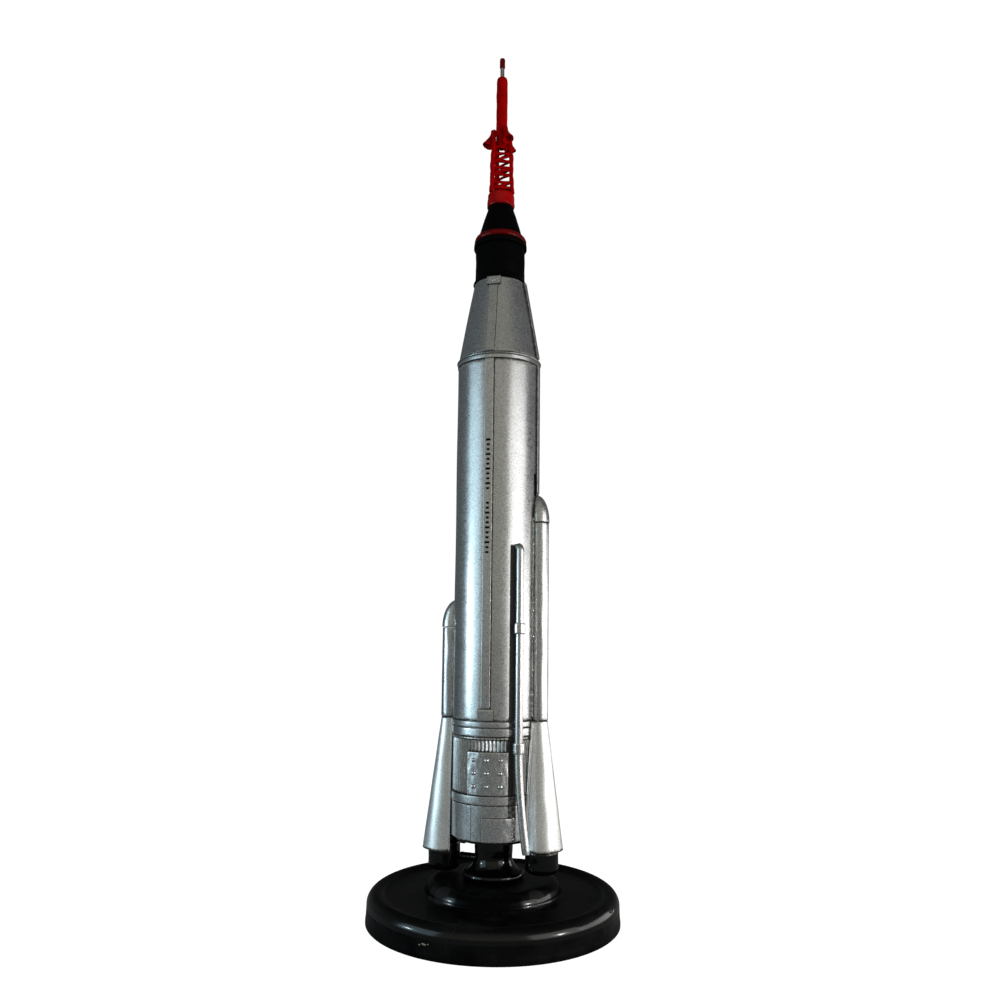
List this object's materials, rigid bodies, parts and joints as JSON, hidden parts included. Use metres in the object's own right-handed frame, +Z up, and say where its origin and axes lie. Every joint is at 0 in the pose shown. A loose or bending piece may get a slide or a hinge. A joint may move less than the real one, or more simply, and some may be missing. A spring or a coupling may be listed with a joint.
{
  "type": "display model rocket",
  "caption": "Metal display model of a slim launch rocket with side boosters, capsule and escape tower, lifting off a spigot on a round weighted stand.",
  "frame": {"origin": "middle of the stand's underside, on the surface it rests on", "axes": "+Z up along the rocket, -Y the front with the riveted panel and the raceway, +X the side with the longer pod"},
  "size_m": [0.14, 0.14, 0.511],
  "materials": {
    "silver_paint": "satin silver paint with a fine flake, dark in the seams",
    "black_enamel": "gloss black enamel, a little uneven, with small chips",
    "red_enamel": "gloss red enamel, thickly brushed",
    "bare_steel": "bare drawn steel",
    "felt": "black felt"
  },
  "bodies": {
    "stand": {"stand_base": "black_enamel", "felt_pad": "felt", "stand_spigot": "bare_steel", "spigot_nut": "bare_steel"},
    "rocket": {"access_panel": "silver_paint", "capsule_adapter": "black_enamel", "capsule_body": "black_enamel", "capsule_ring": "red_enamel", "engine_plate": "black_enamel", "escape_motor": "red_enamel", "exhaust_duct": "black_enamel", "feed_tube": "silver_paint", "front_raceway": "silver_paint", "front_taper_raceway": "silver_paint", "joint_sleeve": "bare_steel", "left_booster_bell": "black_enamel", "left_fairing": "silver_paint", "left_nozzle": "red_enamel", "left_pod": "silver_paint", "left_pod_nose": "silver_paint", "lower_clamp": "silver_paint", "lower_panel": "silver_paint", "lower_ring": "silver_paint", "nose_plate": "bare_steel", "panel_rivet_11": "silver_paint", "panel_rivet_12": "silver_paint", "panel_rivet_13": "silver_paint", "panel_rivet_21": "silver_paint", "panel_rivet_22": "silver_paint", "panel_rivet_23": "silver_paint", "panel_rivet_31": "silver_paint", "panel_rivet_32": "silver_paint", "panel_rivet_33": "silver_paint", "raceway_foot_block": "silver_paint", "raceway_top_clip": "silver_paint", "rear_nozzle": "red_enamel", "ribbed_section": "silver_paint", "right_booster_bell": "black_enamel", "right_fairing": "silver_paint", "right_nozzle": "red_enamel", "right_pod": "silver_paint", "right_pod_nose": "silver_paint", "side_raceway": "silver_paint", "side_taper_raceway": "silver_paint", "skirt_band": "silver_paint", "skirt_shell": "silver_paint", "spigot_socket": "bare_steel", "sustainer_bell": "black_enamel", "tank_tube": "silver_paint", "taper_cone": "silver_paint", "taper_lip": "silver_paint", "tip_cap": "red_enamel", "tip_rod": "bare_steel", "tower_collar": "red_enamel", "tower_front_leg": "red_enamel", "tower_lacing": "red_enamel", "tower_rear_leg": "red_enamel", "tower_right_leg": "red_enamel", "upper_clamp": "silver_paint", "upper_ring": "silver_paint"}
  },
  "joints": [
    {"name": "rocket_lift", "type": "slide", "parent": "stand", "child": "rocket", "axis": [0, 0, 1], "range_m": [0, 0.05]}
  ]
}
